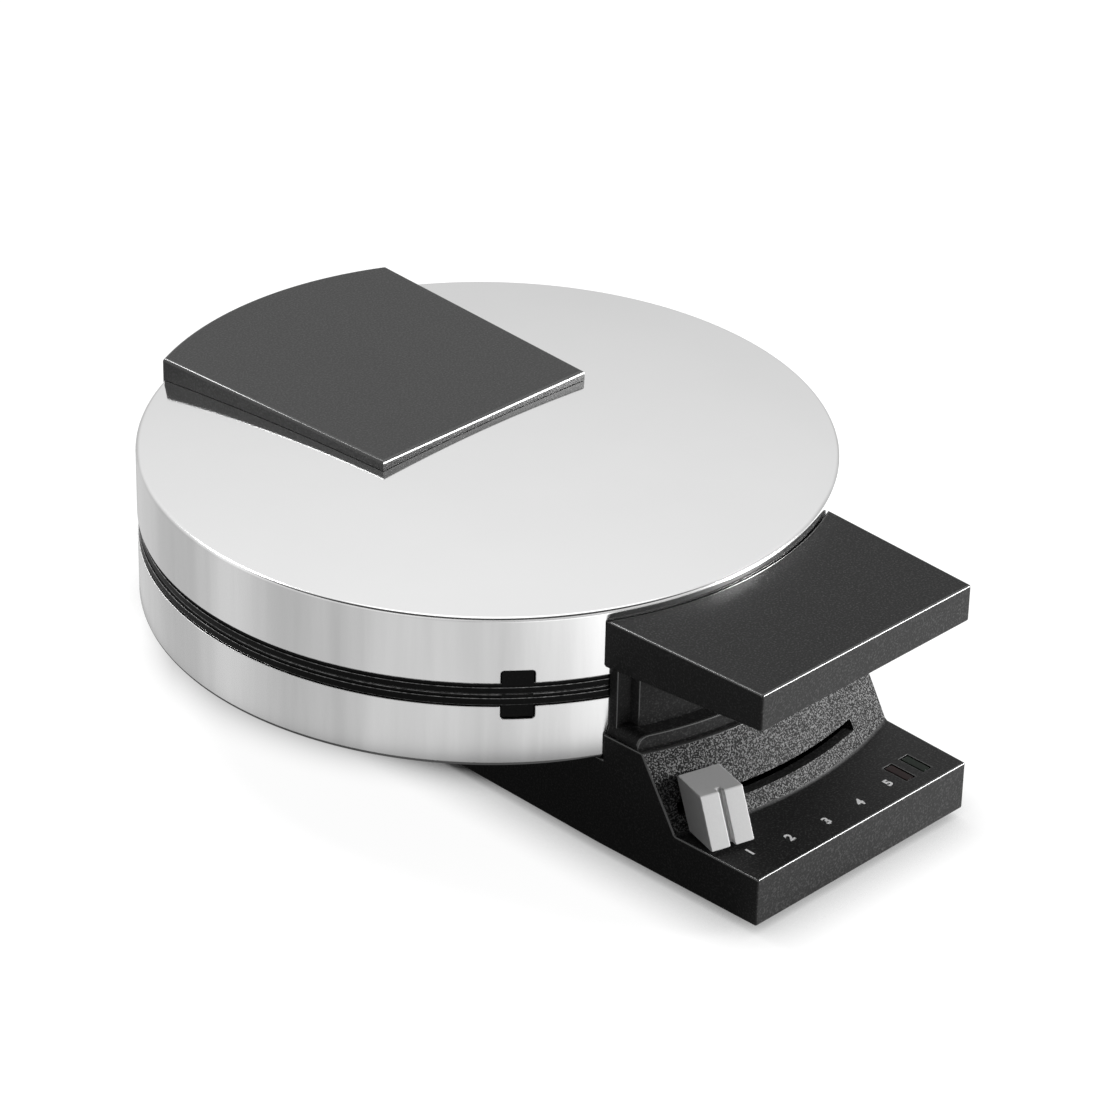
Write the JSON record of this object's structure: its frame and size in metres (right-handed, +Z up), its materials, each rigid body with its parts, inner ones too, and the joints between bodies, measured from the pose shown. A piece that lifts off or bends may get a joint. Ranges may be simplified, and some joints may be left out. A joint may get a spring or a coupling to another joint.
{
  "type": "round waffle maker",
  "caption": "Round countertop waffle maker with a hinged steel lid, cast grid plates, a front handle over a sloped panel and a sliding browning control.",
  "frame": {"origin": "middle of the bounding box at table level, under the feet", "axes": "+Z up, -Y towards the handle and the control panel, +X to the right of someone who faces the handle"},
  "size_m": [0.197, 0.2478, 0.083],
  "materials": {
    "polished_steel": "polished stainless steel with faint upright grain on the side walls",
    "black_plastic": "black phenolic moulding with a fine spark-eroded grain",
    "grey_plastic": "satin light grey moulding",
    "non_stick": "cast aluminium with a black non-stick coating",
    "element_sheath": "heat-darkened steel sheath",
    "plated_steel": "zinc plated steel",
    "rubber": "matte black rubber",
    "red_lens": "clear dark red window, unlit",
    "green_lens": "clear dark green window, unlit",
    "lamp_glass": "clear glass",
    "pale_insulator": "pale ceramic or phenolic insulator"
  },
  "bodies": {
    "base": {"base_housing": "black_plastic", "bottom_cover": "black_plastic", "bottom_cover_screw_1": "plated_steel", "bottom_cover_screw_2": "plated_steel", "bottom_cover_screw_3": "plated_steel", "bottom_cover_screw_4": "plated_steel", "foot_1": "rubber", "foot_2": "rubber", "foot_3": "rubber", "foot_4": "rubber", "lower_shell": "polished_steel", "lower_grid_plate": "non_stick", "lower_heating_element": "element_sheath", "lower_reflector": "plated_steel", "lower_plate_screw_1": "plated_steel", "lower_plate_screw_2": "plated_steel", "lower_plate_screw_3": "plated_steel", "thermostat": "pale_insulator", "thermal_fuse": "plated_steel", "power_lens": "red_lens", "power_lamp": "lamp_glass", "ready_lens": "green_lens", "ready_lamp": "lamp_glass", "lamp_board": "pale_insulator", "terminal_block": "pale_insulator", "cord_gland": "rubber", "hinge_pin": "plated_steel"},
    "lid": {"lid_shell": "polished_steel", "upper_grid_plate": "non_stick", "upper_heating_element": "element_sheath", "upper_reflector": "plated_steel", "upper_plate_screw_1": "plated_steel", "upper_plate_screw_2": "plated_steel", "upper_plate_screw_3": "plated_steel", "lid_handle": "black_plastic", "handle_screw_1": "plated_steel", "handle_screw_2": "plated_steel", "lid_cover_plate": "black_plastic", "cover_plate_screw_left": "plated_steel", "cover_plate_screw_right": "plated_steel", "lid_hinge_arm": "black_plastic", "hinge_rivet_1": "plated_steel", "hinge_rivet_2": "plated_steel"},
    "slider": {"browning_knob": "grey_plastic", "browning_lever": "plated_steel", "thermostat_spindle": "plated_steel", "lever_clip": "plated_steel"}
  },
  "joints": [
    {"name": "lid_hinge", "type": "hinge", "parent": "base", "child": "lid", "pos_m": [0, 0.12025, 0.0527], "axis": [-1, 0, 0], "range_deg": [0, 105]},
    {"name": "browning_slide", "type": "hinge", "parent": "base", "child": "slider", "pos_m": [0, 0.02055, 0.02365], "axis": [0, 0, 1], "range_deg": [0, 24.5]}
  ]
}
